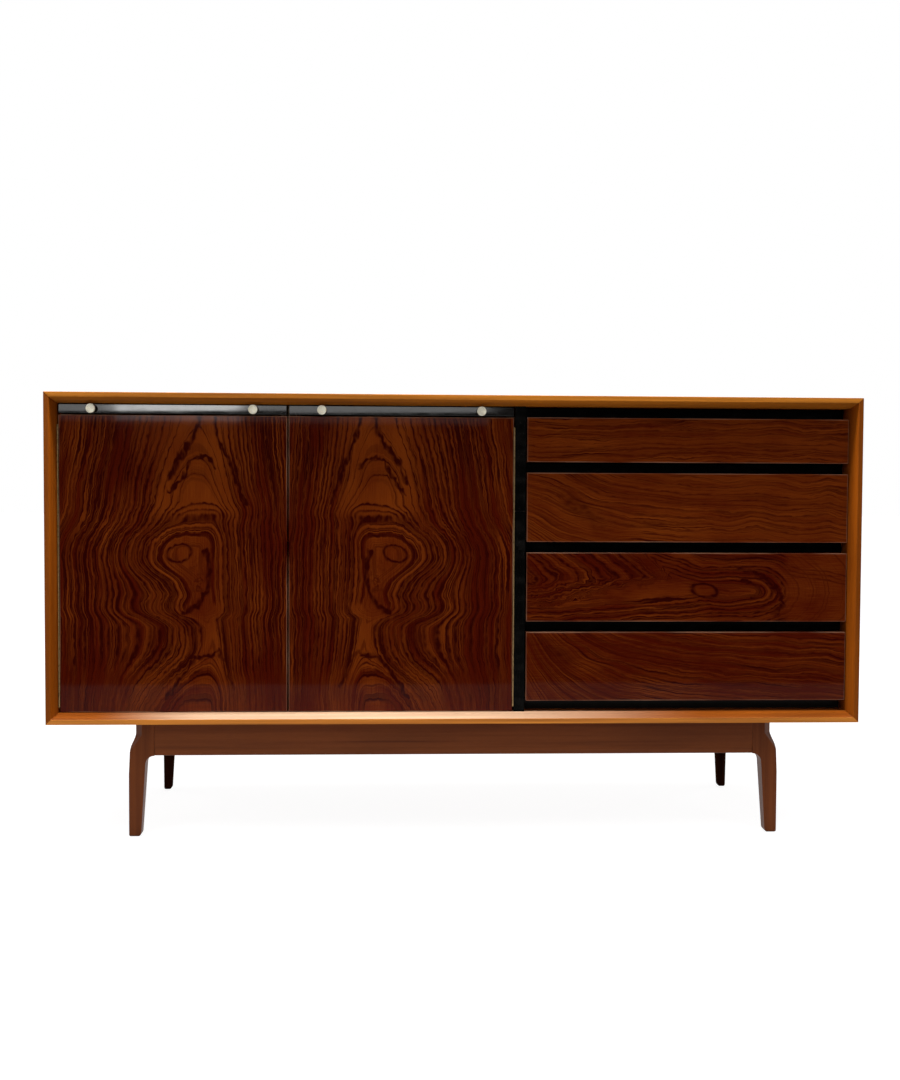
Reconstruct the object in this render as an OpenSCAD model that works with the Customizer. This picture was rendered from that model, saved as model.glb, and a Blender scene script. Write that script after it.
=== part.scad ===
// Sideboard: a mitred case on a frame of four sculpted legs. Two doors with a
// pull-out serving slide above each, and a bank of four drawers beside them.
// Millimetres. X runs to the right, Y to the back and Z up. The origin is on
// the floor, under the middle of the whole.

/* [Case] */
// Width of the case, which is the width of the whole
case_w = 1500; // [1450:10:1600]
// Height of the case without the legs
case_h = 604; // [580:1:640]
// Depth of the case
case_d = 470; // [455:5:520]
// Thickness of the four mitred panels
panel_t = 19; // [18:0.5:22]
// Width of the flat outer part of the panels' front edge
edge_flat = 9; // [6:0.5:12]
// How far back the splayed part of the front edge runs
splay_d = 18; // [12:1:18]
// Thickness of the back panel
back_t = 6; // [4:0.5:7]

/* [Layout] */
// Clear width of the cupboard behind the doors
cupboard_w = 835.5; // [800:0.5:860]
// Thickness of the divider and of the black edging in front of it
divider_t = 20; // [18:0.5:22]
// How far the doors, slides and drawers stand behind the front edge of the case
face_set = 20; // [20:0.5:24]
// Thickness of the doors and of the drawer fronts
front_t = 20; // [18:0.5:22]

/* [Doors] */
// Gap between the two doors where they meet
meeting_gap = 2.8; // [2:0.1:4]
// Length of the continuous hinge
hinge_l = 517; // [480:1:520]
// Number of knuckles in each hinge
knuckles = 41; // [21:2:61]

/* [Serving slides] */
// Thickness of a serving slide
slide_t = 16; // [14:0.5:18]
// Depth of a serving slide from front to back
slide_d = 400; // [360:5:405]
// Diameter of the knobs
knob_d = 17; // [14:0.5:17]
// Distance from the end of a slide to the middle of its knob
knob_inset = 60; // [40:1:90]

/* [Drawers] */
// Height of the black gap above each drawer
rail_h = 20; // [16:0.5:24]
// Height of the front of the shallow top drawer
top_front_h = 82; // [70:1:100]
// Depth of a drawer box behind its front
box_d = 395; // [340:5:400]
// Thickness of the sides of a drawer box
side_t = 12; // [11:0.5:14]

/* [Base] */
// Height of the legs
leg_h = 216; // [190:1:240]
// Height of the rails between the legs
apron_h = 65; // [60:1:75]
// Distance from the middle of the whole to the outer face of a foot
foot_out = 608; // [560:1:640]
// How far the base stands behind the front edge of the case
base_set = 38; // [30:1:50]

/* [Hidden] */
$fn = 48;

// Colours
TEAK = [0.55, 0.30, 0.10];
ROSEWOOD = [0.30, 0.11, 0.04];
WALNUT = [0.33, 0.20, 0.13];
BLACK = [0.05, 0.05, 0.05];
BEECH = [0.80, 0.65, 0.45];
BRASS = [0.80, 0.66, 0.35];
STEEL = [0.70, 0.70, 0.72];

// Planes of the case
left_x = -case_w / 2;
front_y = -case_d / 2;
top_z = leg_h + case_h;
in_l = left_x + panel_t;
in_r = -in_l;
in_b = leg_h + panel_t;
in_t = top_z - panel_t;
face_y = front_y + face_set;
face_back_y = face_y + front_t;

// Rabbet that holds the back panel
rabbet_d = 8;
rabbet_w = 9;
back_y = -front_y - rabbet_d;

// Divider
divider_x = in_l + cupboard_w;
bank_x = divider_x + divider_t;
edging_t = 8;
edging_joint_down = 212;
edging_joint_z = top_z - edging_joint_down;
joint_gap = 0.4;

// Doors and their continuous hinges
hinge_gap = 2.85;
meeting_x = in_l + cupboard_w / 2;
door_floor_gap = 1;
door_bottom_z = in_b + door_floor_gap;
slide_top_gap = 2;
slide_z = in_t - slide_top_gap - slide_t;
door_top_gap = 3;
door_top_z = slide_z - door_top_gap;
door_w = cupboard_w / 2 - hinge_gap - meeting_gap / 2;
knuckle_r = 1.4;
pin_r = 0.75;
pin_play = 0.05;
leaf_t = 0.9;
leaf_w = 15.6;
knuckle_play = 0.2;
leaf_start = knuckle_r + knuckle_play;
hinge_in = 1.45;
hinge_proud = 1.6;
hinge_y = face_y - hinge_proud;
hinge_up = 9;
hinge_z = door_bottom_z + hinge_up;

// Serving slides, their runners and knobs
slide_gap = 3;
slide_mid_gap = 5;
runner_h = 13;
runner_w = 14;
runner_play = 0.5;
runner_front_gap = 2;
tongue_w = 3;
knob_out = 14;
knob_stem_r = 4;
knob_disc_t = 5;

// Drawers
fronts_h = in_t - in_b - 5 * rail_h;
lower_front_h = (fronts_h - top_front_h) / 3;
front_gap_l = 2.5;
front_gap_r = 1.5;
front_x = bank_x + front_gap_l;
front_w = in_r - front_gap_r - front_x;
rail_set = 16;
rail_d = 18;
box_gap = 3.75;
box_rise = 2;
box_drop = 10;
back_board_t = 10;
bottom_t = 5;
bottom_up = 8;
bottom_in = 6;
bottom_play = 0.2;
side_runner_w = 10;
side_runner_h = 16;
groove_d = 7;
groove_stop = 10;
runner_lead = 20;
runner_rear_gap = 22;

// Shelf, its pins and the rows of holes for them
shelf_t = 16;
shelf_play = 1.5;
shelf_w = cupboard_w - 2 * shelf_play;
shelf_d = 380;
shelf_set = 20;
shelf_y = face_back_y + shelf_set;
shelf_up = 300;
shelf_z = leg_h + shelf_up;
pin_hole_r = 3.05;
shelf_pin_r = 3;
pin_in = 9;
pin_out = 9;
pin_rows = [-64, 0, 64];
pin_from_edge = 50;
pin_ys = [shelf_y + pin_from_edge, shelf_y + shelf_d - pin_from_edge];

// Catches
catch_w = 46;
catch_d = 15;
catch_h = 12;
strike_t = 1.2;
strike_in = 3;
strike_up = 2;
catch_gap = 0.3;
catch_off = 8;

// Base: heights below the case, and how far in from the outer face of the foot
rail_t = 20;
apron_splay_h = 12;
apron_splay_d = 3.5;
knee_in = 47;
knee_r = 16.8;
back_knee_r = 23.5;
taper = 3.5;
foot_inner_r = 8;
foot_outer_r = 4;
neck_in = 11;
neck_h = 24;
flare_h = 31;
flare_end_in = 2;
facet_w = 24;
facet_top = 26;
facet_end = 60;
full_h = 100;
foot_y = front_y + base_set;
seam_x = foot_out - knee_in;
block_l = 60;
block_w = 25;
block_h = 35;
screw_r = 2.25;
screw_l = 46;
screw_head_r = 4.5;
screw_head_h = 3.5;
head_play = 0.5;
screw_play = 0.03;
eps = 1;

function front_top(k) = in_t - rail_h * k - (k == 1 ? 0 : top_front_h + (k - 2) * lower_front_h);
function front_h(k) = k == 1 ? top_front_h : lower_front_h;
function front_bottom(k) = front_top(k) - front_h(k);
function groove_z(k) = (front_bottom(k) + box_rise + front_top(k) - box_drop) / 2;
function arc(cx, cy, r, from, to, steps = 8) =
    [for (i = [0:steps]) let (a = from + (to - from) * i / steps) [cx + r * cos(a), cy + r * sin(a)]];

// ---- Case ----

// One mitred panel, its outer face up, its front edge at y = 0
module case_panel(len) {
    profile = [[0, 0], [case_d, 0], [case_d, rabbet_w - panel_t], [case_d - rabbet_d, rabbet_w - panel_t],
               [case_d - rabbet_d, -panel_t], [splay_d, -panel_t], [0, -edge_flat]];
    mitred = [[-len / 2, 0], [len / 2, 0], [len / 2 - panel_t, -panel_t], [panel_t - len / 2, -panel_t]];
    intersection() {
        rotate([90, 0, 90])
            linear_extrude(len, center = true) polygon(profile);
        translate([0, case_d, 0])
            rotate([90, 0, 0]) linear_extrude(case_d) polygon(mitred);
    }
}

module case_top() {
    color(TEAK)
        translate([0, front_y, top_z]) case_panel(case_w);
}

module case_bottom() {
    color(TEAK) difference() {
        translate([0, front_y, leg_h]) mirror([0, 0, 1]) case_panel(case_w);
        base_screw_places() cylinder(h = screw_l, r = screw_r + screw_play);
    }
}

module case_side_left() {
    color(TEAK) difference() {
        translate([left_x, front_y, leg_h + case_h / 2]) rotate([0, -90, 0]) case_panel(case_h);
        translate([in_l - pin_in - 1, 0, 0]) pin_holes();
    }
}

module case_side_right() {
    color(TEAK)
        translate([-left_x, front_y, leg_h + case_h / 2]) rotate([0, 90, 0]) case_panel(case_h);
}

module divider() {
    color(TEAK) difference() {
        translate([divider_x, face_y + edging_t, in_b])
            cube([divider_t, back_y - face_y - edging_t, in_t - in_b]);
        translate([divider_x, 0, 0]) pin_holes();
    }
}

module back_panel() {
    play = 1;
    w = case_w - 2 * (panel_t - rabbet_w) - play;
    h = case_h - 2 * (panel_t - rabbet_w) - play;
    color(BEECH)
        translate([-w / 2, back_y, leg_h + (case_h - h) / 2]) cube([w, back_t, h]);
}

// Black edging on the front of the divider, in two lengths
module stile_upper() {
    color(BLACK)
        translate([divider_x, face_y, edging_joint_z])
            cube([divider_t, edging_t, in_t - edging_joint_z]);
}

module stile_lower() {
    color(BLACK)
        translate([divider_x, face_y, in_b])
            cube([divider_t, edging_t, edging_joint_z - joint_gap - in_b]);
}

// ---- Shelf ----

// Blind holes for the shelf pins: three heights, front and back
module pin_holes() {
    for (y = pin_ys, row = pin_rows)
        translate([0, y, shelf_z - shelf_pin_r + row])
            rotate([0, 90, 0]) cylinder(h = pin_in + 1, r = pin_hole_r);
}

module shelf() {
    color(TEAK)
        translate([meeting_x - shelf_w / 2, shelf_y, shelf_z]) cube([shelf_w, shelf_d, shelf_t]);
}

module shelf_pins() {
    color(BRASS)
        for (y = pin_ys, x = [in_l - pin_in, divider_x - pin_out])
            translate([x, y, shelf_z - shelf_pin_r])
                rotate([0, 90, 0]) cylinder(h = pin_in + pin_out, r = shelf_pin_r);
}

// ---- Fixed parts of the drawer bank ----

// Black rail behind the gap above drawer k, or below the last drawer
module drawer_rail(k) {
    top = k == 1 ? in_t : front_bottom(k - 1);
    color(BLACK)
        translate([bank_x, face_back_y + rail_set, top - rail_h])
            cube([in_r - bank_x, rail_d, rail_h]);
}

// Battens that run in the grooves of the drawer sides
module drawer_runners() {
    start = face_back_y + runner_lead;
    color(BEECH)
        for (k = [1:4], x = [bank_x, in_r - side_runner_w])
            translate([x, start, groove_z(k) - side_runner_h / 2])
                cube([side_runner_w, back_y - runner_rear_gap - start, side_runner_h]);
}

// ---- Serving slides ----

runner_y = face_back_y + runner_front_gap;
runner_len = back_y - runner_rear_gap - runner_y;
runner_z = slide_z - runner_play - runner_h;

module slide_runner_left() {
    color(BEECH) translate([in_l, runner_y, runner_z]) cube([runner_w, runner_len, runner_h]);
}

module slide_runner_right() {
    color(BEECH)
        translate([divider_x - runner_w, runner_y, runner_z]) cube([runner_w, runner_len, runner_h]);
}

// Runner between the two slides, hung from the top by a thin tongue
module slide_runner_centre() {
    color(BEECH) {
        translate([meeting_x - runner_w, runner_y, runner_z]) cube([2 * runner_w, runner_len, runner_h]);
        translate([meeting_x - tongue_w / 2, runner_y, runner_z])
            cube([tongue_w, runner_len, in_t - runner_z]);
    }
}

slide_w = cupboard_w / 2 - slide_gap - slide_mid_gap / 2;

module serving_slide(x) {
    color(BLACK) translate([x, face_y, slide_z]) cube([slide_w, slide_d, slide_t]);
}

module slide_left() {
    serving_slide(in_l + slide_gap);
}

module slide_right() {
    serving_slide(meeting_x + slide_mid_gap / 2);
}

// Turned knob, its axis along -Y, standing on y = 0
module knob() {
    r = knob_d / 2;
    rim_r = 1.2;
    disc_at = knob_out - knob_disc_t;
    dish = 0.8;
    outline = concat([[0, 0], [knob_stem_r, 0], [knob_stem_r, disc_at]],
                     arc(r - rim_r, disc_at + rim_r, rim_r, -90, 0, 4),
                     arc(r - rim_r, knob_out - rim_r, rim_r, 0, 90, 4),
                     [[r * 0.55, knob_out - dish / 2], [0, knob_out - dish]]);
    rotate([90, 0, 0]) rotate_extrude() polygon(outline);
}

module knob_pair(x) {
    color(BRASS)
        for (side = [knob_inset, slide_w - knob_inset])
            translate([x + side, face_y, slide_z + slide_t / 2]) knob();
}

module slide_knobs_left() {
    knob_pair(in_l + slide_gap);
}

module slide_knobs_right() {
    knob_pair(meeting_x + slide_mid_gap / 2);
}

// ---- Doors ----

// Draws a left-hand piece, made with the cupboard's left face at x = 0, in its place
module at_left() {
    translate([in_l, 0, 0]) children();
}

module at_right() {
    translate([divider_x, 0, 0]) mirror([1, 0, 0]) children();
}

// Flush door, made as the left-hand one
module door() {
    color(ROSEWOOD) translate([hinge_gap, face_y, door_bottom_z])
        cube([door_w, front_t, door_top_z - door_bottom_z]);
}

// Leaf of the continuous hinge: a strip, and every second knuckle with its bore
module hinge_leaf(strip_x, first) {
    pitch = hinge_l / knuckles;
    color(BRASS) translate([0, hinge_y, hinge_z]) difference() {
        union() {
            translate([strip_x, leaf_start, 0]) cube([leaf_t, leaf_w - leaf_start, hinge_l]);
            for (i = [first:2:knuckles - 1]) translate([0, 0, i * pitch + knuckle_play / 2]) {
                translate([strip_x, 0, 0]) cube([leaf_t, leaf_start, pitch - knuckle_play]);
                translate([hinge_in, 0, 0]) cylinder(h = pitch - knuckle_play, r = knuckle_r);
            }
        }
        translate([hinge_in, 0, -eps]) cylinder(h = hinge_l + 2 * eps, r = pin_r + pin_play);
    }
}

module case_leaf() {
    hinge_leaf(0, 0);
}

module door_leaf() {
    hinge_leaf(hinge_gap - leaf_t, 1);
}

module hinge_pin() {
    color(STEEL) translate([hinge_in, hinge_y, hinge_z]) cylinder(h = hinge_l, r = pin_r);
}

module strike() {
    strike_x = hinge_gap + door_w - catch_off - catch_w + strike_in;
    color(STEEL)
        translate([strike_x, face_back_y, door_bottom_z + strike_up])
            cube([catch_w - 2 * strike_in, strike_t, catch_h - strike_up]);
}

module door_left() {
    at_left() door();
}

module door_right() {
    at_right() door();
}

module hinge_left_case_leaf() {
    at_left() case_leaf();
}

module hinge_left_door_leaf() {
    at_left() door_leaf();
}

module hinge_left_pin() {
    at_left() hinge_pin();
}

module hinge_right_case_leaf() {
    at_right() case_leaf();
}

module hinge_right_door_leaf() {
    at_right() door_leaf();
}

module hinge_right_pin() {
    at_right() hinge_pin();
}

module strike_left() {
    at_left() strike();
}

module strike_right() {
    at_right() strike();
}

// Magnetic catches on the floor of the cupboard, one behind each door
module door_catches() {
    catch_in = meeting_gap / 2 + catch_off;
    color(BEECH)
        for (x = [meeting_x - catch_in - catch_w, meeting_x + catch_in])
            translate([x, face_back_y + strike_t + catch_gap, in_b]) cube([catch_w, catch_d, catch_h]);
}

// ---- Drawers ----

box_x = bank_x + box_gap;
box_w = in_r - bank_x - 2 * box_gap;

// Groove for the bottom panel, cut in the front and in the sides
module bottom_groove(k) {
    translate([box_x + side_t - bottom_in, face_back_y - bottom_in, front_bottom(k) + box_rise + bottom_up])
        cube([box_w - 2 * (side_t - bottom_in), box_d + bottom_in + eps, bottom_t]);
}

module drawer_front(k) {
    color(ROSEWOOD) difference() {
        translate([front_x, face_y, front_bottom(k)]) cube([front_w, front_t, front_h(k)]);
        bottom_groove(k);
    }
}

// The two sides, each grooved outside for its runner and inside for the bottom
module drawer_sides(k) {
    z = front_bottom(k) + box_rise;
    h = front_h(k) - box_rise - box_drop;
    groove_h = side_runner_h + 2 * runner_play;
    color(BEECH) difference() {
        for (x = [box_x, box_x + box_w - side_t])
            translate([x, face_back_y, z]) cube([side_t, box_d, h]);
        for (x = [box_x - eps, box_x + box_w - groove_d])
            translate([x, face_back_y + groove_stop, groove_z(k) - groove_h / 2])
                cube([groove_d + eps, box_d, groove_h]);
        bottom_groove(k);
    }
}

module drawer_back(k) {
    z = front_bottom(k) + box_rise + bottom_up + bottom_t;
    color(BEECH)
        translate([box_x + side_t, face_back_y + box_d - back_board_t, z])
            cube([box_w - 2 * side_t, back_board_t, front_top(k) - box_drop - z]);
}

module drawer_bottom(k) {
    bottom_w = box_w - 2 * (side_t - bottom_in + bottom_play);
    color(BEECH)
        translate([box_x + side_t - bottom_in + bottom_play, face_back_y - bottom_in + bottom_play,
                   front_bottom(k) + box_rise + bottom_up])
            cube([bottom_w, box_d + bottom_in - bottom_play, bottom_t]);
}

// ---- Base ----

// Rail between two legs, its outer face at y = 0 and its lower edge splayed
module base_rail(len) {
    profile = [[0, 0], [rail_t, 0], [rail_t, -apron_h],
               [apron_splay_d, -apron_h], [0, apron_splay_h - apron_h]];
    rotate([90, 0, 90]) linear_extrude(len, center = true) polygon(profile);
}

module apron_front() {
    color(WALNUT) translate([0, foot_y, leg_h]) base_rail(2 * seam_x);
}

module apron_back() {
    color(WALNUT) translate([0, -foot_y, leg_h]) rotate([0, 0, 180]) base_rail(2 * seam_x);
}

module end_rail(side) {
    color(WALNUT)
        translate([side * (foot_out - neck_in), 0, leg_h])
            rotate([0, 0, side * 90]) base_rail(-2 * (foot_y + knee_in));
}

module end_rail_left() {
    end_rail(-1);
}

module end_rail_right() {
    end_rail(1);
}

// Inner edge of a leg from the top down: the knee of radius r, the taper and the foot
function leg_inner(r) =
    let (cz = -apron_h - r,
         tx = knee_in - r * cos(taper),
         tz = cz + r * sin(taper),
         foot_x = tx - (tz + leg_h - foot_inner_r) * tan(taper))
    concat([[knee_in, 0]],
           arc(knee_in, cz, r, 90, 180 - taper),
           arc(foot_x - foot_inner_r, foot_inner_r - leg_h, foot_inner_r, 0, -90));

// Bottom outer corner of a foot
function leg_toe() = arc(foot_outer_r, foot_outer_r - leg_h, foot_outer_r, -90, -180, 4);

// Outer edge of a leg seen from the front: it flares out below a narrow neck
function leg_flare(steps = 8) =
    [for (i = [steps:-1:0])
        let (t = i / steps)
        [neck_in - (neck_in - flare_end_in) * (1 - cos(180 * t)) / 2, -neck_h - flare_h * t]];

// Leg with its outer corner at x = y = 0 and its top at z = 0. A larger knee makes it slimmer
module leg_shape(r) {
    seen_from_front = concat(leg_inner(r), leg_toe(), [[0, -full_h]], leg_flare(), [[neck_in, 0]]);
    seen_from_side = concat(leg_inner(r), leg_toe(), [[0, 0]]);
    facet = [[-knee_in, eps], [facet_w / sqrt(2), eps], [facet_w / sqrt(2), -facet_top],
             [0, -facet_end], [-knee_in, -facet_end]];
    difference() {
        intersection() {
            translate([0, knee_in + eps, 0])
                rotate([90, 0, 0]) linear_extrude(knee_in + 2 * eps) polygon(seen_from_front);
            translate([-eps, 0, 0])
                rotate([90, 0, 90]) linear_extrude(knee_in + 2 * eps) polygon(seen_from_side);
        }
        rotate([0, 0, 45]) rotate([90, 0, 0])
            linear_extrude(4 * knee_in, center = true) polygon(facet);
    }
}

// Places a leg in one corner: side is -1 on the left, end is -1 at the front
module leg(side, end) {
    color(WALNUT)
        mirror([side > 0 ? 1 : 0, 0, 0]) mirror([0, end > 0 ? 1 : 0, 0])
            translate([-foot_out, foot_y, leg_h]) leg_shape(end > 0 ? back_knee_r : knee_r);
}

module leg_front_left() {
    leg(-1, -1);
}

module leg_front_right() {
    leg(1, -1);
}

module leg_back_left() {
    leg(-1, 1);
}

module leg_back_right() {
    leg(1, 1);
}

// Draws its child at the foot of each screw that holds the base to the case
module base_screw_places() {
    for (x = [-1, 1], y = [-1, 1])
        translate([x * (seam_x - block_l / 2), y * (foot_y + rail_t + block_w / 2), leg_h - block_h])
            children();
}

// Blocks glued inside the front and back rails, which take the screws
module fixing_blocks() {
    color(BEECH) difference() {
        for (x = [-seam_x, seam_x - block_l], y = [foot_y + rail_t, -foot_y - rail_t - block_w])
            translate([x, y, leg_h - block_h]) cube([block_l, block_w, block_h]);
        base_screw_places() {
            translate([0, 0, -eps]) cylinder(h = block_h + 2 * eps, r = screw_r + screw_play);
            translate([0, 0, -eps]) cylinder(h = screw_head_h + eps, r = screw_head_r + head_play);
        }
    }
}

module base_screws() {
    color(STEEL)
        base_screw_places() {
            cylinder(h = screw_l, r = screw_r);
            cylinder(h = screw_head_h, r1 = screw_head_r, r2 = screw_r);
        }
}

case_top();
case_bottom();
case_side_left();
case_side_right();
divider();
back_panel();
stile_upper();
stile_lower();
shelf();
shelf_pins();
drawer_rail(1);  // drawer_rail_1
drawer_rail(2);  // drawer_rail_2
drawer_rail(3);  // drawer_rail_3
drawer_rail(4);  // drawer_rail_4
drawer_rail(5);  // drawer_rail_5
drawer_runners();
slide_runner_left();
slide_runner_centre();
slide_runner_right();
slide_left();
slide_right();
slide_knobs_left();
slide_knobs_right();
door_left();
door_right();
hinge_left_case_leaf();
hinge_left_door_leaf();
hinge_left_pin();
hinge_right_case_leaf();
hinge_right_door_leaf();
hinge_right_pin();
door_catches();
strike_left();
strike_right();
drawer_front(1);  // drawer_1_front
drawer_sides(1);  // drawer_1_sides
drawer_back(1);  // drawer_1_back
drawer_bottom(1);  // drawer_1_bottom
drawer_front(2);  // drawer_2_front
drawer_sides(2);  // drawer_2_sides
drawer_back(2);  // drawer_2_back
drawer_bottom(2);  // drawer_2_bottom
drawer_front(3);  // drawer_3_front
drawer_sides(3);  // drawer_3_sides
drawer_back(3);  // drawer_3_back
drawer_bottom(3);  // drawer_3_bottom
drawer_front(4);  // drawer_4_front
drawer_sides(4);  // drawer_4_sides
drawer_back(4);  // drawer_4_back
drawer_bottom(4);  // drawer_4_bottom
apron_front();
apron_back();
end_rail_left();
end_rail_right();
leg_front_left();
leg_front_right();
leg_back_left();
leg_back_right();
fixing_blocks();
base_screws();
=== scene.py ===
"""Sideboard buffet: the finishes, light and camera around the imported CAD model, in metres."""

import math
from functools import reduce

import bpy
from mathutils import Matrix, Vector


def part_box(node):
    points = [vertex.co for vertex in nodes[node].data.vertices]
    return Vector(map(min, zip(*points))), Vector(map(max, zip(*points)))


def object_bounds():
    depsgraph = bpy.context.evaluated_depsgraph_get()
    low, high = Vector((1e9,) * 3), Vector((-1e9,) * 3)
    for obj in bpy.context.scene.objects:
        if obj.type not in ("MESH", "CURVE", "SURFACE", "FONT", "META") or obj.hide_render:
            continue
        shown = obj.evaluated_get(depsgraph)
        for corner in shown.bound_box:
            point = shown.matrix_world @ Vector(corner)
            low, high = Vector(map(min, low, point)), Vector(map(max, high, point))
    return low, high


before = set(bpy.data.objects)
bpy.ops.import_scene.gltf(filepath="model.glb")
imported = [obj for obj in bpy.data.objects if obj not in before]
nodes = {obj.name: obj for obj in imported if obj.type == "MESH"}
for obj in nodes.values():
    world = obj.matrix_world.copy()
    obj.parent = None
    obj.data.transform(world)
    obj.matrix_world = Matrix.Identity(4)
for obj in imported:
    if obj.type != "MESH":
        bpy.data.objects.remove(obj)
cad_low, cad_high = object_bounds()

MM = 0.001
SIDES = ("left", "right")


# ---------------------------------------------------------------- camera

# The camera's place in metres: to the right of the middle, in front of the case, and above the floor.
CAMERA_RIGHT = -0.1266
CAMERA_IN_FRONT = 2.386
CAMERA_HEIGHT = 0.6489
# How far it is turned to the right, dipped and rolled, in radians.
CAMERA_TURN = 0.04627
CAMERA_DIP = 0.03938
CAMERA_ROLL = -0.00492
# Its focal length and the width of its sensor, in millimetres.
LENS = 43.496
SENSOR_WIDTH = 36


def make_camera():
    """The viewing position: left of the middle, just under the top, turned slightly right and down."""
    right = Vector((math.cos(CAMERA_TURN), -math.sin(CAMERA_TURN), 0))
    level = math.cos(CAMERA_DIP)
    ahead = Vector((math.sin(CAMERA_TURN) * level, math.cos(CAMERA_TURN) * level, -math.sin(CAMERA_DIP)))
    up = right.cross(ahead)
    rolled_right = right * math.cos(CAMERA_ROLL) - up * math.sin(CAMERA_ROLL)
    rolled_up = up * math.cos(CAMERA_ROLL) + right * math.sin(CAMERA_ROLL)
    matrix = Matrix((rolled_right, rolled_up, -ahead)).transposed().to_4x4()
    matrix.translation = Vector((CAMERA_RIGHT, cad_low.y - CAMERA_IN_FRONT, CAMERA_HEIGHT))
    data = bpy.data.cameras.new("camera")
    data.lens = LENS
    data.sensor_width = SENSOR_WIDTH
    camera = bpy.data.objects.new("camera", data)
    bpy.context.scene.collection.objects.link(camera)
    camera.matrix_world = matrix
    bpy.context.scene.camera = camera


# ---------------------------------------------------------------- node arithmetic

class Wire:
    """A number that varies over a surface. Arithmetic on it adds Math nodes to its material."""

    def __init__(self, tree, socket):
        self.tree = tree
        self.socket = socket

    def maths(self, operation, *values):
        node = self.tree.nodes.new("ShaderNodeMath")
        node.operation = operation
        for entry, value in zip(node.inputs, values):
            feed(entry, value)
        return Wire(self.tree, node.outputs[0])

    def __add__(self, other):
        return self.maths("ADD", self, other)

    def __radd__(self, other):
        return self.maths("ADD", other, self)

    def __sub__(self, other):
        return self.maths("SUBTRACT", self, other)

    def __rsub__(self, other):
        return self.maths("SUBTRACT", other, self)

    def __mul__(self, other):
        return self.maths("MULTIPLY", self, other)

    def __rmul__(self, other):
        return self.maths("MULTIPLY", other, self)

    def __truediv__(self, other):
        return self.maths("DIVIDE", self, other)

    def __neg__(self):
        return self.maths("MULTIPLY", self, -1.0)

    def __pow__(self, other):
        return self.maths("POWER", self, other)

    def __abs__(self):
        return self.maths("ABSOLUTE", self)


def feed(entry, value):
    """Joins a wire to a socket, or sets the socket to a plain number or colour."""
    if isinstance(value, Wire):
        value.tree.links.new(value.socket, entry)
    elif isinstance(value, tuple):
        entry.default_value = (*value, 1.0)
    else:
        entry.default_value = value


def exponential(value):
    return value.maths("EXPONENT", value)


def above(value, floor):
    """The greater of the two."""
    return value.maths("MAXIMUM", value, floor)


def below(value, ceiling):
    """The smaller of the two."""
    return value.maths("MINIMUM", value, ceiling)


def greatest(*values):
    """The greatest of them all."""
    return reduce(above, values)


def limited(value, ceiling=1.0):
    """The value, kept between 0 and the ceiling."""
    return above(below(value, ceiling), 0.0)


def diagonal(*sides):
    """The length of the diagonal of a box with these sides."""
    return sum(side * side for side in sides) ** 0.5


def smooth(value, start, end):
    """0 before start, 1 past end and an S curve between. start may be the larger."""
    node = value.tree.nodes.new("ShaderNodeMapRange")
    node.interpolation_type = "SMOOTHSTEP"
    feed(node.inputs["Value"], value)
    node.inputs["From Min"].default_value = start
    node.inputs["From Max"].default_value = end
    return Wire(value.tree, node.outputs[0])


def steps(value, *rows):
    """A sum of smooth steps. Each row gives where a step starts, where it ends, and its height."""
    return sum(smooth(value, start, end) * height for start, end, height in rows)


def hump(value, centre, width):
    """1 at centre, fading to 0 over about twice the width on both sides."""
    offset = (value - centre) / width
    return exponential(-(offset * offset))


def rounded(value, radius):
    """The value where it is positive and 0 where it is negative, with a round turn between."""
    return (value + (value * value + radius * radius) ** 0.5) * 0.5


def noise(x, y=None, z=None, detail=2.0, roughness=0.5):
    """Smooth noise, mostly between -0.6 and 0.6, on one to three coordinates in units of its own grain."""
    tree = x.tree
    node = tree.nodes.new("ShaderNodeTexNoise")
    node.inputs["Scale"].default_value = 1.0
    node.inputs["Detail"].default_value = detail
    node.inputs["Roughness"].default_value = roughness
    if y is None:
        node.noise_dimensions = "1D"
        feed(node.inputs["W"], x)
    else:
        node.noise_dimensions = "2D" if z is None else "3D"
        joined = tree.nodes.new("ShaderNodeCombineXYZ")
        feed(joined.inputs[0], x)
        feed(joined.inputs[1], y)
        if z is not None:
            feed(joined.inputs[2], z)
        tree.links.new(joined.outputs[0], node.inputs["Vector"])
    return Wire(tree, node.outputs[0]) * 2.0 - 1.0


def blend(low, high, share):
    """The colour low where share is 0, and high where it is 1."""
    node = share.tree.nodes.new("ShaderNodeMix")
    node.data_type = "RGBA"
    share_entry, low_entry, high_entry = node.inputs[0], node.inputs[6], node.inputs[7]
    feed(share_entry, share)
    feed(low_entry, low)
    feed(high_entry, high)
    colour = node.outputs[2]
    return Wire(share.tree, colour)


# The materials made here, by name. The frame's own materials have some of the same names in Blender's list.
finishes = {}


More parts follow.
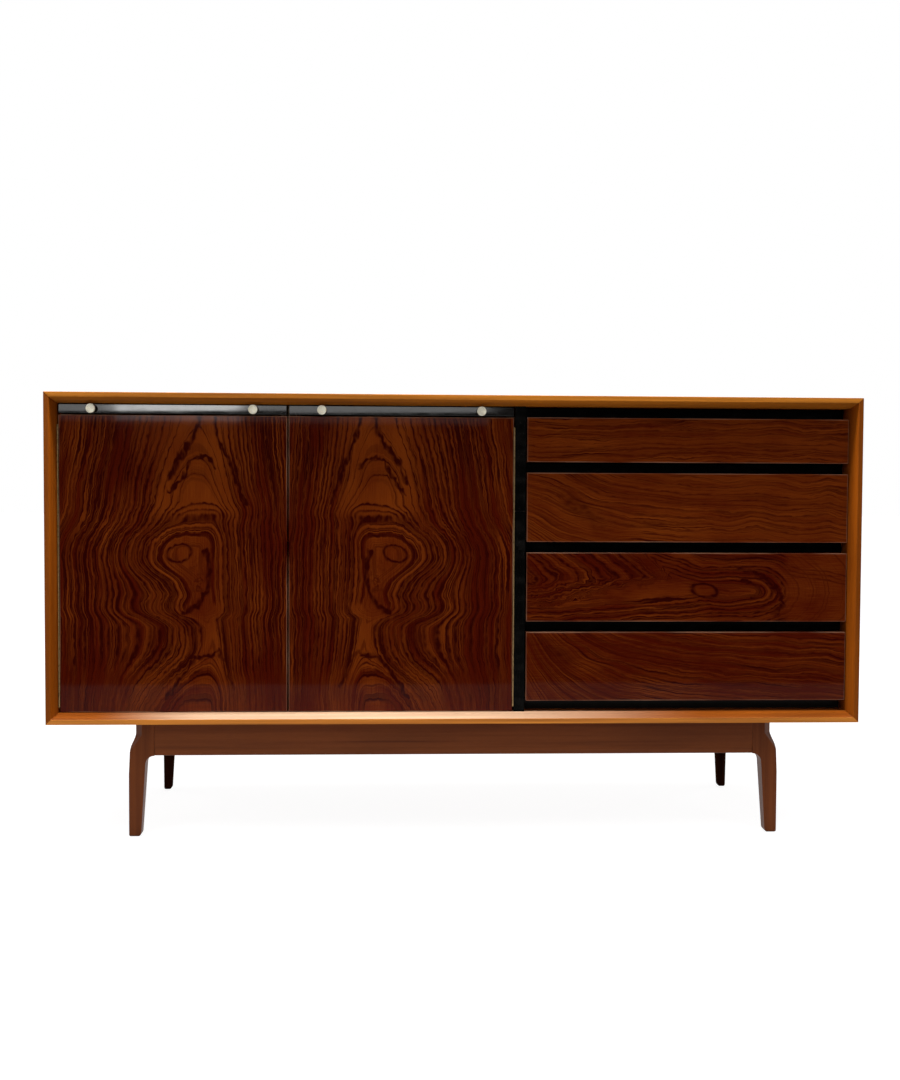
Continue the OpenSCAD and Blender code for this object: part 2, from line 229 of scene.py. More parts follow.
class Finish:
    """A material being made: its shader, and the place of each point in millimetres as x, y and z."""

    def __init__(self, name, **sockets):
        material = bpy.data.materials.new(name)
        finishes[name] = material
        material.use_nodes = True
        self.tree = material.node_tree
        self.tree.nodes.clear()
        self.shader = self.tree.nodes.new("ShaderNodeBsdfPrincipled")
        output = self.tree.nodes.new("ShaderNodeOutputMaterial")
        self.tree.links.new(self.shader.outputs[0], output.inputs["Surface"])
        place = self.tree.nodes.new("ShaderNodeTexCoord")
        axes = self.tree.nodes.new("ShaderNodeSeparateXYZ")
        self.tree.links.new(place.outputs["Object"], axes.inputs[0])
        self.x, self.y, self.z = (Wire(self.tree, axis) / MM for axis in axes.outputs)
        for socket, value in sockets.items():
            self.shader.inputs[socket.replace("_", " ")].default_value = value

    def show(self, colour, roughness, height):
        """Sets the colour, the roughness and the relief, which is in millimetres."""
        feed(self.shader.inputs["Base Color"], colour)
        feed(self.shader.inputs["Roughness"], roughness)
        bump = self.tree.nodes.new("ShaderNodeBump")
        bump.inputs["Distance"].default_value = MM
        feed(bump.inputs["Height"], height)
        self.tree.links.new(bump.outputs[0], self.shader.inputs["Normal"])


# ---------------------------------------------------------------- rosewood veneer

ROSEWOOD_DARK = (0.026, 0.0008, 0.0004)
ROSEWOOD_RED = (0.076, 0.0058, 0.0008)
ROSEWOOD_ORANGE = (0.190, 0.0350, 0.0035)
# The pale colour of the highlight painted along the edges of the doors and drawer fronts.
ROSEWOOD_EDGE_HIGHLIGHT = (0.30, 0.15, 0.09)
# How far the dark figure and the pores may turn the wood to the dark colour.
DARKEST = 0.97


def segment_distance(x, y, start, end):
    """How far a point is from the straight line between two others."""
    dx = end[0] - start[0]
    dy = end[1] - start[1]
    along = limited(((x - start[0]) * dx + (y - start[1]) * dy) / (dx * dx + dy * dy))
    return diagonal(x - start[0] - along * dx, y - start[1] - along * dy)


def streak(x, y, points, width):
    """1 along a dark streak that runs through the points, 0 beside it."""
    pairs = zip(points, points[1:])
    near = reduce(below, (segment_distance(x, y, start, end) for start, end in pairs))
    return smooth(near, width * 1.25, width * 0.15)


def streaks(x, y, rows):
    """Several streaks. Each row gives a streak's width, how strong it is, and its points."""
    return greatest(*(streak(x, y, points, width) * strength for width, strength, points in rows))


def ring_lines(ring, radii, width):
    """Dark late wood at each of these ring radii."""
    return greatest(*(hump(ring, radius, width) for radius in radii))


def oval(x, y, centre, half_size, slant):
    """0 at the centre of an oval knot, 1 on its outline and more outside. slant tilts it."""
    aside = x - centre[0]
    return diagonal(aside / half_size[0], (y - centre[1] + aside * slant) / half_size[1])


def edge_distance(value, low, high):
    """How far a point between low and high is from the nearer of the two."""
    return below(value - low, high - value)


def new_rosewood(name):
    """A finish whose gloss comes from a thin smooth coat alone."""
    return Finish(name, Specular_IOR_Level=0.0, Coat_Weight=0.10, Coat_Roughness=0.04)


def ring_grain(ring, cloud):
    """Thin dark grain that follows the rings."""
    thin = smooth(abs(noise(ring / 11.0 + 3.1, detail=1.0)), 0.13, 0.0)
    finer = smooth(abs(noise(ring / 7.0 + 17.3, detail=0.0)), 0.12, 0.0)
    return above(thin * (0.65 + cloud), finer * (0.35 - cloud))


def show_rosewood(finish, ring, dark, plain, along, across, lift, rim):
    """Rosewood from a ring coordinate, its dark figure and how plain it is.

    along and across are coordinates along the grain and across it. lift makes the wood lighter. rim is the
    distance to the edge of the front, along which a painted highlight pales the veneer.
    """
    cloud = noise(across / 70.0, along / 140.0, detail=2.0)
    fibre = noise(across / 1.1, along / 40.0, detail=3.0, roughness=0.7)
    pores = smooth(noise(across / 0.5, along / 8.0, detail=1.0), 0.3, 0.45)
    slow = noise(ring / 30.0, detail=1.0)
    bands = noise(ring / 9.0 + 31.7, detail=1.0)
    strands = smooth(noise(ring / 2.8, along / 170.0, detail=2.0, roughness=0.6), 0.0, 0.35)
    figured = 1.0 - plain
    light = 0.52 + plain * 0.10 + figured * (slow * 0.7 + bands * 0.6) + cloud * 0.6 + fibre * 0.55 + lift
    grain = ring_grain(ring, cloud) * figured * (0.8 - lift)
    grain = grain + strands * (0.75 + cloud * 0.7) * (1.0 - plain * 0.5)
    colour = blend(ROSEWOOD_RED, ROSEWOOD_ORANGE, limited(light))
    colour = blend(colour, ROSEWOOD_DARK, limited(above(dark, grain) + pores * 0.15, DARKEST))
    # A highlight painted along the edge of each front, paling the veneer where light would catch the arris.
    colour = blend(colour, ROSEWOOD_EDGE_HIGHLIGHT, smooth(rim, 1.8, 0.9) * (0.4 + cloud))
    finish.show(colour, 0.24 + fibre * 0.05 + pores * 0.08, fibre * 0.006 - pores * 0.012)


# ---------------------------------------------------------------- figure of the doors

# It is laid out in millimetres on the left door: x from the outer edge, and y down from the top. The rings
# run round a strip down the door, the heart. Its left side is at the knot's x, and further right above it.

DOOR_KNOT = (216.0, 252.0)
DOOR_KNOT_HALF_SIZE = (22.0, 16.0)
DOOR_RINGS = (57.0, 66.0, 76.0, 94.0, 108.0, 124.0, 139.0, 156.0, 179.0, 196.0)
DOOR_FAINT_RINGS = (47.0, 61.5, 71.0, 85.0, 101.0, 116.0, 132.0, 148.0, 168.0, 187.0)
DOOR_STREAKS = (
    (7.0, 1.0, ((256.0, -5.0), (246.0, 38.0), (215.0, 82.0), (200.0, 116.0))),
    (5.0, 1.0, ((280.0, -5.0), (290.0, 38.0), (308.0, 85.0), (322.0, 125.0), (337.0, 160.0))),
    (4.5, 1.0, ((200.0, 140.0), (226.0, 112.0), (238.0, 82.0), (252.0, 73.0), (268.0, 76.0), (282.0, 95.0))),
    (7.5, 1.0, ((267.0, 250.0), (273.0, 285.0), (268.0, 320.0), (250.0, 348.0), (226.0, 360.0))),
    (5.5, 1.0, ((192.0, 520.0), (226.0, 470.0), (248.0, 443.0), (278.0, 440.0))),
    (4.5, 0.8, ((276.0, 440.0), (286.0, 430.0), (303.0, 456.0), (316.0, 500.0))),
)
# Right of the heart the rings are spread so that this ring falls at this x, near the meeting edge.
DOOR_LAST_RING = 200.0
DOOR_LAST_RING_X = 410.0


def door_rings(x, y):
    """The ring coordinate, and how nearly level the rings run, from 0 to 1."""
    heart_left = DOOR_KNOT[0] + steps(y, (262.0, 160.0, 24.0)) + above(160.0 - y, 0.0) * 0.105
    pull = steps(y, (258.0, 312.0, 48.0), (362.0, 390.0, 22.0), (410.0, 580.0, -76.0))
    pull = pull + hump(y, 328.0, 12.0) * 7.0
    left = heart_left - x
    left = above(left + pull * hump(above(left, 0.0), 0.0, 100.0), 0.0)
    heart_right = 250.0 + steps(y, (252.0, 72.0, 5.0), (300.0, 440.0, 21.0)) + hump(y, 175.0, 35.0) * 28.0
    right = above(x - heart_right, 0.0) * DOOR_LAST_RING / (DOOR_LAST_RING_X - heart_right)
    rise = steps(y, (252.0, 188.0, 57.0), (188.0, 156.0, 10.0), (150.0, 0.0, 19.0))
    rise = rise + steps(y, (345.0, 375.0, 48.0), (432.0, 545.0, -46.0))
    ring = diagonal(left, right, rise)
    return ring, smooth(rise / above(ring, 1.0), 0.5, 0.95)


def door_lines(x, y, ring, level):
    """The dark lines of the rings, narrower where the rings run level."""
    narrowing = 0.84 + steps(y, (150.0, 200.0, -0.84), (380.0, 430.0, 0.65))
    spread = 1.0 - level * narrowing
    strong = ring_lines(ring, DOOR_RINGS, spread * 2.4)
    faint = ring_lines(ring, DOOR_FAINT_RINGS, spread * 1.8)
    inner = hump(ring, 38.0, 2.4) * (1.0 - smooth(y, 256.0, 272.0) * smooth(x, 252.0, 260.0) * 0.8)
    innermost = hump(ring, 30.0, 1.8) * smooth(x, 262.0, 246.0) * smooth(y, 285.0, 262.0)
    lines = greatest(strong, inner, innermost * 0.7, faint * 0.8)
    return lines * (1.0 - smooth(y, 445.0, 490.0) * 0.5)


def door_plainness(x, y, ring, level, knot):
    """How plain the wood is, from 0 to 1, and the same for the plain field below the knot alone."""
    heart = smooth(ring, 30.0, 24.0) * smooth(y, 450.0, 430.0)
    top = level * smooth(y, 200.0, 168.0)
    field = smooth(y, 338.0, 352.0) * smooth(ring, 56.0, 52.0) * smooth(x, 222.0, 236.0)
    field = field * (1.0 - smooth(y, 436.0, 450.0))
    plain = greatest(heart, top, field) + smooth(knot, 1.05, 0.9) + smooth(y, 430.0, 500.0) * 0.45
    return below(plain, 1.0), field


def door_mottle(x, y):
    """A dark mottled patch beside the knot."""
    patches = smooth(noise(x / 16.0, y / 13.0, detail=3.0, roughness=0.7), -0.2, 0.3)
    return hump(x, 252.0, 16.0) * hump(y, 302.0, 40.0) * patches


def make_door_rosewood():
    """One figure for both doors, laid open like a book about the line where they meet."""
    finish = new_rosewood("rosewood_doors")
    left_low, left_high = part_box("door_left")
    right_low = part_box("door_right")[0]
    meeting = (left_high.x + right_low.x) / 2 / MM
    half_gap = (right_low.x - left_high.x) / 2 / MM
    half_width = meeting - left_low.x / MM
    bottom = left_low.z / MM
    top = left_high.z / MM
    from_meeting = abs(finish.x - meeting)
    down = top - finish.z

    drift = noise(finish.x / 75.0, down / 90.0, detail=1.0)
    ragged = noise(finish.x / 9.0, down / 17.0, detail=1.0)
    x = half_width - from_meeting + drift * 4.5 + ragged * 2.2
    y = down + noise(finish.x / 40.0 + 9.0, down / 60.0, detail=1.0) * 4.0 + ragged * 2.2
    frayed_x = x + noise(finish.x / 13.0, down / 24.0, detail=1.0) * 7.0
    frayed_y = y + noise(finish.x / 15.0 + 5.0, down / 16.0, detail=1.0) * 6.0

    ring, level = door_rings(x, y)
    knot = oval(x, y, DOOR_KNOT, DOOR_KNOT_HALF_SIZE, 0.12)
    plain, plain_field = door_plainness(x, y, ring, level, knot)
    lines = door_lines(x, y, ring, level) * (0.95 + drift * 0.5) * (1.0 - plain_field)
    outline = hump(knot, 1.0, 0.15) * 0.95
    drawn = streaks(frayed_x, frayed_y, DOOR_STREAKS)
    dark = greatest(lines, outline, drawn, door_mottle(x, y) * 0.7) * (0.95 + ragged * 0.6)
    lift = hump(ring, 80.0, 32.0) * 0.4 - 0.22 + steps(down, (200.0, 0.0, 0.12), (400.0, 520.0, -0.15))
    rim = below(edge_distance(finish.z, bottom, top), edge_distance(from_meeting, half_gap, half_width))
    show_rosewood(finish, ring, dark, plain, down, finish.x, lift, rim)


# ---------------------------------------------------------------- figures of the drawers

# Each is laid out in millimetres on its front: u from the left end, and w down from the top. It returns the
# ring coordinate, the dark figure and how plain the wood is.

def straight_figure(u, w):
    """Nearly straight grain that dips a little along its length."""
    ring = w * 1.15 + hump(u, 420.0, 150.0) * 5.0 - hump(u, 130.0, 90.0) * 3.0
    dark = ring_lines(ring, (14.0, 27.0, 40.0, 58.0, 70.0, 79.0), 1.8) * 0.55
    return ring, dark, hump(w, 48.0, 14.0) * 0.4 + 0.35


def swept_figure(u, w):
    """Grain that falls from the left end and then runs level over two low swellings."""
    fall = (1.0 - exponential(rounded(u - 66.0 + w * 0.6, 36.0) / -75.0)) * 65.0 + u * 0.03
    swell = hump(u, 430.0, 32.0) * 6.0 + hump(u, 565.0, 20.0) * 6.0
    ring = (w - fall + swell) * 1.2 + 100.0
    lines = ring_lines(ring, (40.0, 58.0, 73.0, 84.0, 98.0, 112.0, 125.0, 136.0), 1.8)
    shade = hump(u - w, 34.0, 28.0) * hump(w, 66.0, 38.0)
    return ring, above(lines * 0.6, shade * 0.7), smooth(u, 150.0, 240.0) * 0.15 + 0.4


LOOP_KNOT = (334.0, 72.0)
LOOP_KNOT_HALF_SIZE = (22.0, 11.0)
LOOP_RINGS = (18.0, 26.0, 34.0, 42.0, 47.0, 63.0, 75.0, 90.0, 104.0, 112.0, 121.0, 129.0, 137.0)
LOOP_CORNER_RINGS = (-60.0, -52.0, -45.0)
LOOP_STREAKS = (
    (8.0, 1.0, ((400.0, 28.0), (436.0, 38.0), (460.0, 56.0), (478.0, 74.0), (482.0, 98.0), (466.0, 114.0))),
    (6.0, 0.9, ((405.0, 50.0), (432.0, 58.0), (440.0, 74.0), (424.0, 90.0))),
)


def loop_ring(u, w):
    """The ring coordinate of the loops round the knot."""
    back = above(330.0 - u, 0.0)
    right = above(u - 420.0, 0.0) / 1.6
    drop = w - LOOP_KNOT[1]
    upper = above(-drop - back * 0.30, 0.0)
    lower = above(drop - back * 0.07, 0.0)
    return diagonal(upper + lower, right)


def pointed_ring(u, w):
    """A coordinate that is the same along pointed grain, and grows to the right."""
    wander = noise(u / 26.0, w / 17.0, detail=2.0)
    turn = w - 52.0 + wander * 8.0
    point = ((turn * turn + 60.0) ** 0.5 - 7.7) * 3.4
    return u + point + turn * 2.05 + wander * 16.0


def loop_figure(u, w):
    """Loops round a knot, and pointed grain that comes in from the left."""
    pointed = pointed_ring(u, w)
    looped = smooth(pointed, 225.0, 270.0)
    knot = oval(u, w, LOOP_KNOT, LOOP_KNOT_HALF_SIZE, -0.15)
    inside = smooth(knot, 1.1, 0.9)
    ring = (loop_ring(u, w) * looped + (1.0 - looped) * (pointed * 0.32 + 60.0)) * (1.0 - inside)
    end = smooth(u, 478.0, 500.0)
    lines = ring_lines(ring, LOOP_RINGS, 1.5) * 0.95 * (1.0 - end)
    corner = ring_lines(w - u * 0.17, LOOP_CORNER_RINGS, 1.2) * end * 0.6
    frayed_u = u + noise(u / 20.0, w / 13.0, detail=2.0) * 10.0
    frayed_w = w + noise(u / 13.0 + 5.0, w / 15.0, detail=2.0) * 8.0
    drawn = streaks(frayed_u, frayed_w, LOOP_STREAKS)
    dark = greatest(lines, drawn, hump(knot, 1.05, 0.22) * 1.1, corner)
    calm = looped * smooth(u, 320.0, 290.0) * smooth(w, 88.0, 78.0)
    return ring, dark, below(inside + end * 0.9 + calm + 0.3, 1.0)


def fan_figure(u, w):
    """Grain that spreads like a fan from the lower left end."""
    fall = (1.0 - exponential(u / -90.0)) * 165.0 + u * 0.06
    ring = (w - fall) * 1.1 + 200.0 + hump(u, 545.0, 40.0) * 5.0
    lines = ring_lines(ring, (30.0, 47.0, 62.0, 80.0, 96.0, 118.0, 131.0, 152.0, 168.0), 1.8)
    shade = hump(u - w, 22.0, 26.0) * hump(w, 34.0, 30.0)
    return ring, above(lines * 0.5, shade * 0.55), 0.4


# The figure of each drawer front from the top one down, and how much lighter it is.
DRAWER_FIGURES = ((straight_figure, 0.1), (swept_figure, 0.1), (loop_figure, -0.26), (fan_figure, -0.26))


def make_drawer_rosewood(drawer, figure, lift):
    """The veneer of one drawer front."""
    finish = new_rosewood(f"rosewood_{drawer}")
    low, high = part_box(f"{drawer}_front")
    width = (high.x - low.x) / MM
    height = (high.z - low.z) / MM
    u = finish.x - low.x / MM
    w = high.z / MM - finish.z
    ragged = noise(u / 17.0, w / 9.0, detail=1.0)
    drift = noise(u / 90.0, w / 40.0, detail=1.0)
    ring, dark, plain = figure(u + ragged * 2.5, w + ragged * 2.0 + drift * 7.0)
    rim = below(edge_distance(u, 0.0, width), edge_distance(w, 0.0, height))
    show_rosewood(finish, ring, dark * (0.9 + ragged * 0.7), plain, u, w, lift, rim)


# ---------------------------------------------------------------- plain woods

# The pale, the deep and the dark colour of each wood.
TEAK = ((0.31, 0.074, 0.004), (0.16, 0.034, 0.002), (0.05, 0.010, 0.001))
WALNUT = ((0.22, 0.058, 0.015), (0.13, 0.033, 0.009), (0.05, 0.014, 0.005))
# Darker walnut that paints the shade falling on the back legs under the case.
SHADED_WALNUT = ((0.052, 0.015, 0.005), (0.030, 0.008, 0.004), (0.012, 0.004, 0.002))
BEECH = ((0.55, 0.36, 0.20), (0.42, 0.26, 0.135), (0.25, 0.14, 0.07))
PLY = ((0.40, 0.25, 0.13), (0.27, 0.155, 0.075), (0.13, 0.07, 0.035))
# The pale and the deep colour of the upper face of the case's top, which is less orange.
UPPER_FACE = ((0.225, 0.078, 0.018), (0.130, 0.040, 0.008))
# The pale colour of the highlight painted on the splay of the case's bottom edge, and a golden tint.
PAINTED_HIGHLIGHT_PALE = (0.66, 0.44, 0.28)
GOLDEN = (0.80, 0.28, 0.03)
# How strongly a highlight is painted on the splay of a front edge, and how far the splay and the outer flat
# are turned golden.
TOP_EDGE_TINT = {"painted_highlight": 0.0, "golden_splay": 0.45, "golden_flat": 0.85}
BOTTOM_EDGE_TINT_AND_HIGHLIGHT = {"painted_highlight": 0.85, "golden_splay": 0.0, "golden_flat": 0.8}

# The axis that the grain of a wood follows.
LENGTHWISE, CROSSWISE, UPRIGHT = range(3)


def upper_face(finish, colour, light):
    """Changes the colour on the upper face of the case's top."""
    pale, deep = UPPER_FACE
    top = cad_high.z / MM
    return blend(colour, blend(deep, pale, light), smooth(finish.z, top - 0.8, top - 0.2))


def front_edge_tint_and_highlight(finish, colour, bands, painted_highlight, golden_splay, golden_flat):
    """Changes the colour on the front edge of the case's top or bottom: a golden tint on its outer flat and
    inner splay, and a painted highlight across the splay.
    """
    side_low, side_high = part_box("case_side_left")
    middle = (side_low.z + side_high.z) / 2 / MM
    half_height = side_high.z / MM - middle
    front = cad_low.y / MM
    left_end = cad_low.x / MM
    right_end = cad_high.x / MM
    flat = smooth(finish.y, front + 1.0, front + 0.2)
    inner = smooth(abs(finish.z - middle), half_height - 6.0, half_height - 9.0)
    splay = smooth(finish.y, front + 35.0, front + 20.0) * (1.0 - flat) * inner
    golden = (splay * golden_splay + flat * golden_flat) * (0.8 + bands)
    colour = blend(colour, GOLDEN, limited(golden))
    # A highlight painted on the splay: pale across the middle of its length, fading towards both ends.
    highlight_reach = smooth(finish.x, left_end + 80.0, left_end + 310.0)
    highlight_reach = highlight_reach * smooth(finish.x, right_end - 280.0, right_end - 730.0)
    return blend(colour, PAINTED_HIGHLIGHT_PALE, limited(splay * highlight_reach * painted_highlight * (0.9 + bands * 0.6)))


def make_wood(name, along, tones, specular, roughness=0.38, edge_colouring=None, top=False):
    """Plain straight-grained wood. along is the axis that the grain follows.

    The front edge's golden tint and painted highlight come in the argument before top, if the wood has one;
    top says that it has the case's upper face.
    """
    pale, deep, dark = tones
    finish = Finish(name, Specular_IOR_Level=specular)
    axes = [finish.x, finish.y, finish.z]
    length = axes.pop(along)
    first, second = axes
    first = first + noise(length / 260.0, first / 80.0, second / 80.0, detail=1.0) * 5.0
    bands = noise(length / 700.0, first / 9.0, second / 9.0, detail=2.0)
    fibre = noise(length / 50.0, first / 0.8, second / 0.8, detail=3.0, roughness=0.65)
    wide = noise(length / 240.0, first / 60.0, second / 60.0, detail=1.0)
    pores = smooth(noise(length / 8.0, first / 0.5, second / 0.5, detail=1.0), 0.28, 0.42)
    light = limited(0.5 + bands * 0.8 + fibre * 0.55 + wide * 0.7)
    colour = blend(deep, pale, light)
    if top:
        colour = upper_face(finish, colour, light)
    colour = blend(colour, dark, limited(pores * 0.25 + smooth(bands, -0.2, -0.5) * 0.35))
    if edge_colouring is not None:
        colour = front_edge_tint_and_highlight(finish, colour, bands, **edge_colouring)
    finish.show(colour, roughness + fibre * 0.08, fibre * 0.01 - pores * 0.015)


def make_woods():
    make_wood("teak_top", LENGTHWISE, TEAK, specular=0.1, edge_colouring=TOP_EDGE_TINT, top=True)
    # The bottom's front edge has a highlight painted on its splay.
    make_wood("teak_bottom", LENGTHWISE, TEAK, specular=0.3, edge_colouring=BOTTOM_EDGE_TINT_AND_HIGHLIGHT)
    make_wood("teak_upright", UPRIGHT, TEAK, specular=0.08)
    make_wood("walnut_lengthwise", LENGTHWISE, WALNUT, specular=0.1)
    make_wood("walnut_crosswise", CROSSWISE, WALNUT, specular=0.1)
    make_wood("walnut_upright", UPRIGHT, WALNUT, specular=0.1)
    # Walnut darkened to paint the shade on the back legs.
    make_wood("walnut_painted_shade", UPRIGHT, SHADED_WALNUT, specular=0.0)
    make_wood("beech_lengthwise", LENGTHWISE, BEECH, specular=0.3, roughness=0.55)
    make_wood("beech_crosswise", CROSSWISE, BEECH, specular=0.3, roughness=0.55)
    make_wood("plywood", LENGTHWISE, PLY, specular=0.25, roughness=0.6)


# ---------------------------------------------------------------- lacquer, metal and plastic

BLACK = (0.0008, 0.0007, 0.0006)
# A lighter black that paints the grey sheen of the floor's reflection on the lowest drawer rail.
SHEEN_BLACK = (0.0080, 0.0075, 0.0065)
# The slides' black is lifted above plain black to paint part of their grey sheen; the rest comes from the
# mirrored strips.
SLIDE_BLACK = (0.008, 0.007, 0.006)
DUST = (0.05, 0.046, 0.042)
# The clean and the tarnished colour of each metal.
BRASS = ((0.30, 0.20, 0.09), (0.13, 0.08, 0.035))
PALE_BRASS = ((0.97, 0.92, 0.75), (0.86, 0.77, 0.52))
STEEL = ((0.56, 0.55, 0.53), (0.33, 0.31, 0.29))
# The lightest and the darkest tone of the white plastic.
WHITE = ((0.60, 0.57, 0.50), (0.48, 0.45, 0.38))


def make_lacquer(name, tone, roughness, specular):
    """Black paint with the faint ripple and dust of a brushed coat."""
    finish = Finish(name, Specular_IOR_Level=specular)
    ripple = noise(finish.x / 34.0, finish.y / 20.0, finish.z / 14.0, detail=1.0)
    dust = smooth(noise(finish.x / 1.4, finish.y / 1.4, finish.z / 1.4, detail=1.0), 0.32, 0.5)
    colour = blend(tone, DUST, limited(dust * 0.5 + ripple * 0.2))
    finish.show(colour, roughness + ripple * 0.05 + dust * 0.15, ripple * 0.006)


def make_metal(name, tones, roughness, metallic=1.0):
    """Metal with fine scratches and a duller, darker tarnish in patches."""
    clean, tarnished = tones
    finish = Finish(name, Metallic=metallic)
    tarnish = smooth(noise(finish.x / 6.0, finish.y / 6.0, finish.z / 6.0, detail=2.0), -0.1, 0.4)
    scratch = noise(finish.x / 0.3, finish.y / 3.0, finish.z / 0.3, detail=2.0)
    colour = blend(clean, tarnished, tarnish * 0.6)
    finish.show(colour, roughness + scratch * 0.12 + tarnish * 0.1, scratch * 0.004)


def make_plastic():
    """White plastic with a fine speckle."""
    lightest, darkest = WHITE
    finish = Finish("white_plastic", Specular_IOR_Level=0.4)
    speck = noise(finish.x / 2.0, finish.y / 2.0, finish.z / 2.0, detail=2.0)
    finish.show(blend(lightest, darkest, speck * 0.5 + 0.5), 0.45 + speck * 0.1, speck * 0.01)


def make_other_finishes():
    make_lacquer("black_lacquer", BLACK, roughness=0.3, specular=0.04)
    make_lacquer("lacquer_painted_sheen", SHEEN_BLACK, roughness=0.4, specular=0.1)
    make_lacquer("slide_lacquer", SLIDE_BLACK, roughness=0.06, specular=0.5)
    make_metal("brass", BRASS, roughness=0.42)
    make_metal("pale_brass", PALE_BRASS, roughness=0.3, metallic=0.4)
    make_metal("steel", STEEL, roughness=0.38)
    make_plastic()


# ---------------------------------------------------------------- dressing the nodes

def dress(finish, *names):
    """Gives nodes the finish of this name."""
    for name in names:
        slots = nodes[name].data.materials
        slots.clear()
        slots.append(finishes[finish])


def soften(width, *names):
    """Rounds the edges of nodes by a bevel, so that they catch light as worked wood does."""
    for name in names:
        weld = nodes[name].modifiers.new("weld", "WELD")
        weld.merge_threshold = 0.01 * MM
        bevel = nodes[name].modifiers.new("bevel", "BEVEL")
        bevel.width = width * MM
        bevel.segments = 2
        bevel.limit_method = "ANGLE"
        bevel.angle_limit = math.radians(30)
        bevel.use_clamp_overlap = True
        normals = nodes[name].modifiers.new("normals", "WEIGHTED_NORMAL")
        normals.keep_sharp = False


def dress_case():
    dress("teak_top", "case_top")
    dress("teak_bottom", "case_bottom")
    dress("teak_upright", "case_side_left", "case_side_right", "divider")
    dress("beech_lengthwise", "shelf")
    dress("plywood", "back_panel")
    dress("black_lacquer", "stile_upper", "stile_lower")
    dress("black_lacquer", *(f"drawer_rail_{number}" for number in range(1, 5)))
    # The lowest rail's lighter black is a painted sheen.
    dress("lacquer_painted_sheen", "drawer_rail_5")
    dress("beech_crosswise", "drawer_runners")
    dress("beech_crosswise", *(f"slide_runner_{place}" for place in ("left", "centre", "right")))
    dress("white_plastic", "door_catches")
    dress("steel", "shelf_pins")
    soften(0.8, "case_top", "case_bottom", "case_side_left", "case_side_right")
    soften(1.0, "stile_upper", "stile_lower")


def dress_doors_and_slides():
    make_door_rosewood()
    for side in SIDES:
        dress("rosewood_doors", f"door_{side}")
        dress("brass", *(f"hinge_{side}_{part}" for part in ("case_leaf", "door_leaf", "pin")))
        dress("steel", f"strike_{side}")
        dress("slide_lacquer", f"slide_{side}")
        dress("pale_brass", f"slide_knobs_{side}")
        soften(0.7, f"door_{side}")
        soften(0.5, f"slide_{side}")


def dress_drawers():
    for number, (figure, lift) in enumerate(DRAWER_FIGURES, 1):
        drawer = f"drawer_{number}"
        make_drawer_rosewood(drawer, figure, lift)
        dress(f"rosewood_{drawer}", f"{drawer}_front")
        dress("beech_crosswise", f"{drawer}_sides")
        dress("beech_lengthwise", f"{drawer}_back")
        dress("plywood", f"{drawer}_bottom")
        soften(0.7, f"{drawer}_front")


def dress_base():
    dress("walnut_lengthwise", "apron_front", "apron_back")
    dress("walnut_crosswise", "end_rail_left", "end_rail_right", "fixing_blocks")
    dress("steel", "base_screws")
    soften(1.0, "apron_front", "apron_back")
    for side in SIDES:
        dress("walnut_upright", f"leg_front_{side}")
        # The back legs get walnut darkened as painted shade.
        dress("walnut_painted_shade", f"leg_back_{side}")
        soften(1.2, f"leg_front_{side}", f"leg_back_{side}")


# ---------------------------------------------------------------- floor and light

FLOOR_FRONT, FLOOR_BACK, FLOOR_SIDE = -2.1, 30.0, 20.0
FLOOR_PALE = (0.82, 0.82, 0.82)
FLOOR_DULL = (0.30, 0.29, 0.28)
FLOOR_GLOW = 1.3
FLOOR_GLOW_SHARE = 0.7
WHITE_LIGHT = (1, 1, 1)
WORLD_SEEN = 1.0
WORLD_LIT = 0.07
OBJECT_MIDDLE = (0, 0, 0.45)
SKY_PLACE = (0, -0.27, 1.45)
SKY_STRENGTH = 2.0
SKY_SPREAD = math.radians(50)
# Each box's name, place, target, width, height and power. The black slides mirror the two strips.
LIGHT_BOXES = (
    ("overhead", (-0.2, -0.36, 2.2), (-0.2, -0.3, 0.23), 0.6, 0.16, 48),
    ("front_left", (-2.4, -3.2, 2.3), OBJECT_MIDDLE, 1.8, 1.8, 20),
    ("front_right", (2.4, -3.0, 2.2), OBJECT_MIDDLE, 1.8, 1.8, 14),
    ("side_left", (-3.4, 0.9, 1.3), OBJECT_MIDDLE, 2.6, 2.4, 36),
    ("side_right", (3.4, 0.9, 1.3), OBJECT_MIDDLE, 2.6, 2.4, 36),
    ("behind", (0.3, 3.6, 1.6), OBJECT_MIDDLE, 3.6, 2.4, 42),
    ("bright_strip", (-1.15, -4.2, 1.112), (-0.5, 0, 0.79), 0.6, 0.27, 4.5),
    ("long_strip", (-0.82, -4.25, 1.112), (-0.4, 0, 0.79), 2.4, 0.27, 5.4),
)


def shader(tree, kind, colour, strength=None):
    """A plain diffuse, emission or background shader."""
    node = tree.nodes.new(kind)
    node.inputs["Color"].default_value = (*colour, 1.0)
    if strength is not None:
        node.inputs["Strength"].default_value = strength
    return node.outputs[0]


def mix(tree, share, low, high):
    """The shader low where share is 0, and high where it is 1."""
    node = tree.nodes.new("ShaderNodeMixShader")
    if isinstance(share, float):
        node.inputs[0].default_value = share
    else:
        tree.links.new(share, node.inputs[0])
    tree.links.new(low, node.inputs[1])
    tree.links.new(high, node.inputs[2])
    return node.outputs[0]


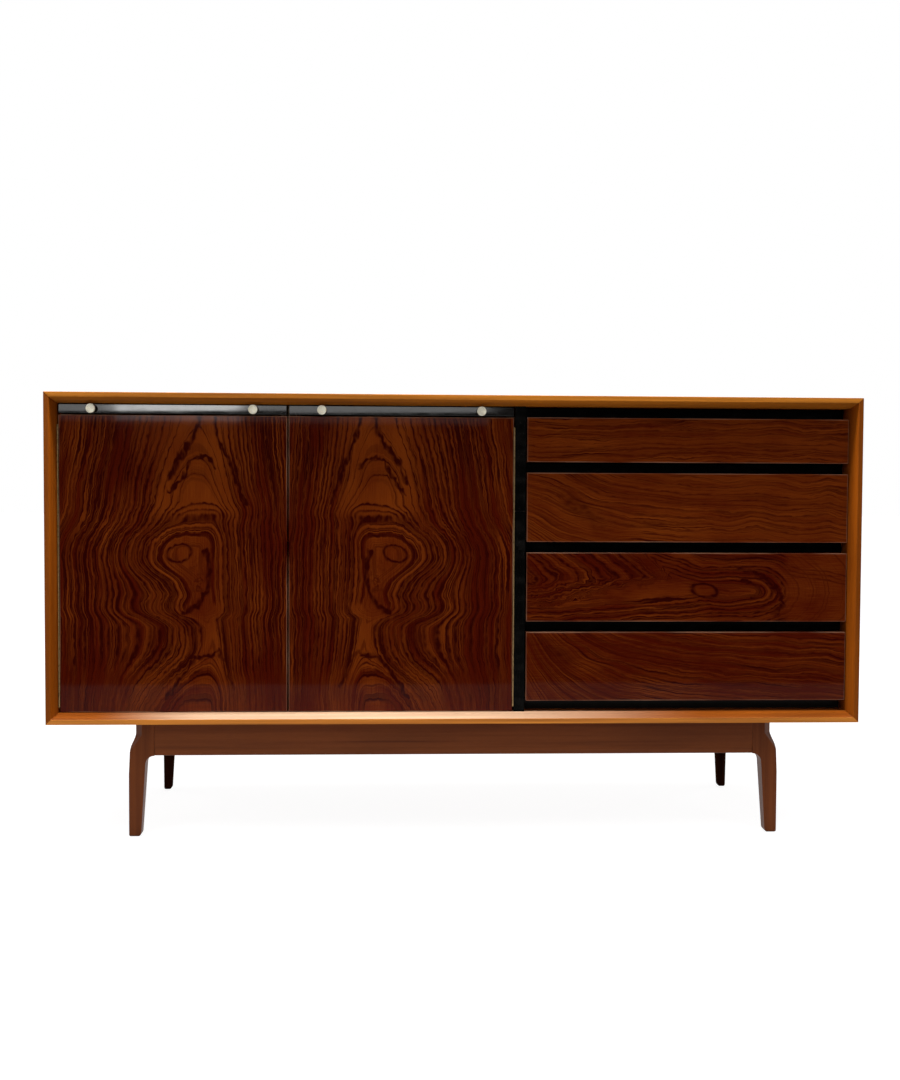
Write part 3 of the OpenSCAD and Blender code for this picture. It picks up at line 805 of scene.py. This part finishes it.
def make_floor():
    """A pale paper floor, open on all sides. It looks nearly white, and throws little light back up."""
    mesh = bpy.data.meshes.new("floor")
    front_corners = [(-FLOOR_SIDE, FLOOR_FRONT, 0), (FLOOR_SIDE, FLOOR_FRONT, 0)]
    back_corners = [(FLOOR_SIDE, FLOOR_BACK, 0), (-FLOOR_SIDE, FLOOR_BACK, 0)]
    mesh.from_pydata(front_corners + back_corners, [], [(0, 1, 2, 3)])
    floor = bpy.data.objects.new("floor", mesh)
    bpy.context.scene.collection.objects.link(floor)
    material = bpy.data.materials.new("floor")
    material.use_nodes = True
    tree = material.node_tree
    tree.nodes.clear()
    pale = shader(tree, "ShaderNodeBsdfDiffuse", FLOOR_PALE)
    glow = shader(tree, "ShaderNodeEmission", WHITE_LIGHT, FLOOR_GLOW)
    dull = shader(tree, "ShaderNodeBsdfDiffuse", FLOOR_DULL)
    path = tree.nodes.new("ShaderNodeLightPath")
    output = tree.nodes.new("ShaderNodeOutputMaterial")
    seen = mix(tree, FLOOR_GLOW_SHARE, pale, glow)
    mirrored = mix(tree, path.outputs["Is Glossy Ray"], dull, seen)
    tree.links.new(mix(tree, path.outputs["Is Camera Ray"], mirrored, seen), output.inputs["Surface"])
    mesh.materials.append(material)


def add_light(name, kind, place, target, energy, **settings):
    """A light at a place, facing a target. The settings are the lamp's own."""
    data = bpy.data.lights.new(name, kind)
    data.energy = energy
    for setting, value in settings.items():
        setattr(data, setting, value)
    lamp = bpy.data.objects.new(name, data)
    bpy.context.scene.collection.objects.link(lamp)
    lamp.location = place
    lamp.rotation_mode = "QUATERNION"
    lamp.rotation_quaternion = (Vector(place) - Vector(target)).to_track_quat("Z", "Y")


def make_world():
    """White where the camera sees it, and a weak light on the object."""
    world = bpy.data.worlds.new("surround")
    bpy.context.scene.world = world
    world.use_nodes = True
    tree = world.node_tree
    tree.nodes.clear()
    path = tree.nodes.new("ShaderNodeLightPath")
    seen = shader(tree, "ShaderNodeBackground", WHITE_LIGHT, WORLD_SEEN)
    lit = shader(tree, "ShaderNodeBackground", WHITE_LIGHT, WORLD_LIT)
    output = tree.nodes.new("ShaderNodeOutputWorld")
    tree.links.new(mix(tree, path.outputs["Is Camera Ray"], lit, seen), output.inputs["Surface"])


def make_lights():
    """A broad soft light from above, weaker boxes all round, and strips that the black slides mirror."""
    add_light("sky", "SUN", SKY_PLACE, OBJECT_MIDDLE, SKY_STRENGTH, angle=SKY_SPREAD)
    for name, place, target, width, height, power in LIGHT_BOXES:
        add_light(name, "AREA", place, target, power, shape="RECTANGLE", size=width, size_y=height)


make_camera()
make_woods()
make_other_finishes()
dress_case()
dress_doors_and_slides()
dress_drawers()
dress_base()
make_floor()
make_lights()
make_world()
bpy.context.scene.view_settings.view_transform = "Standard"
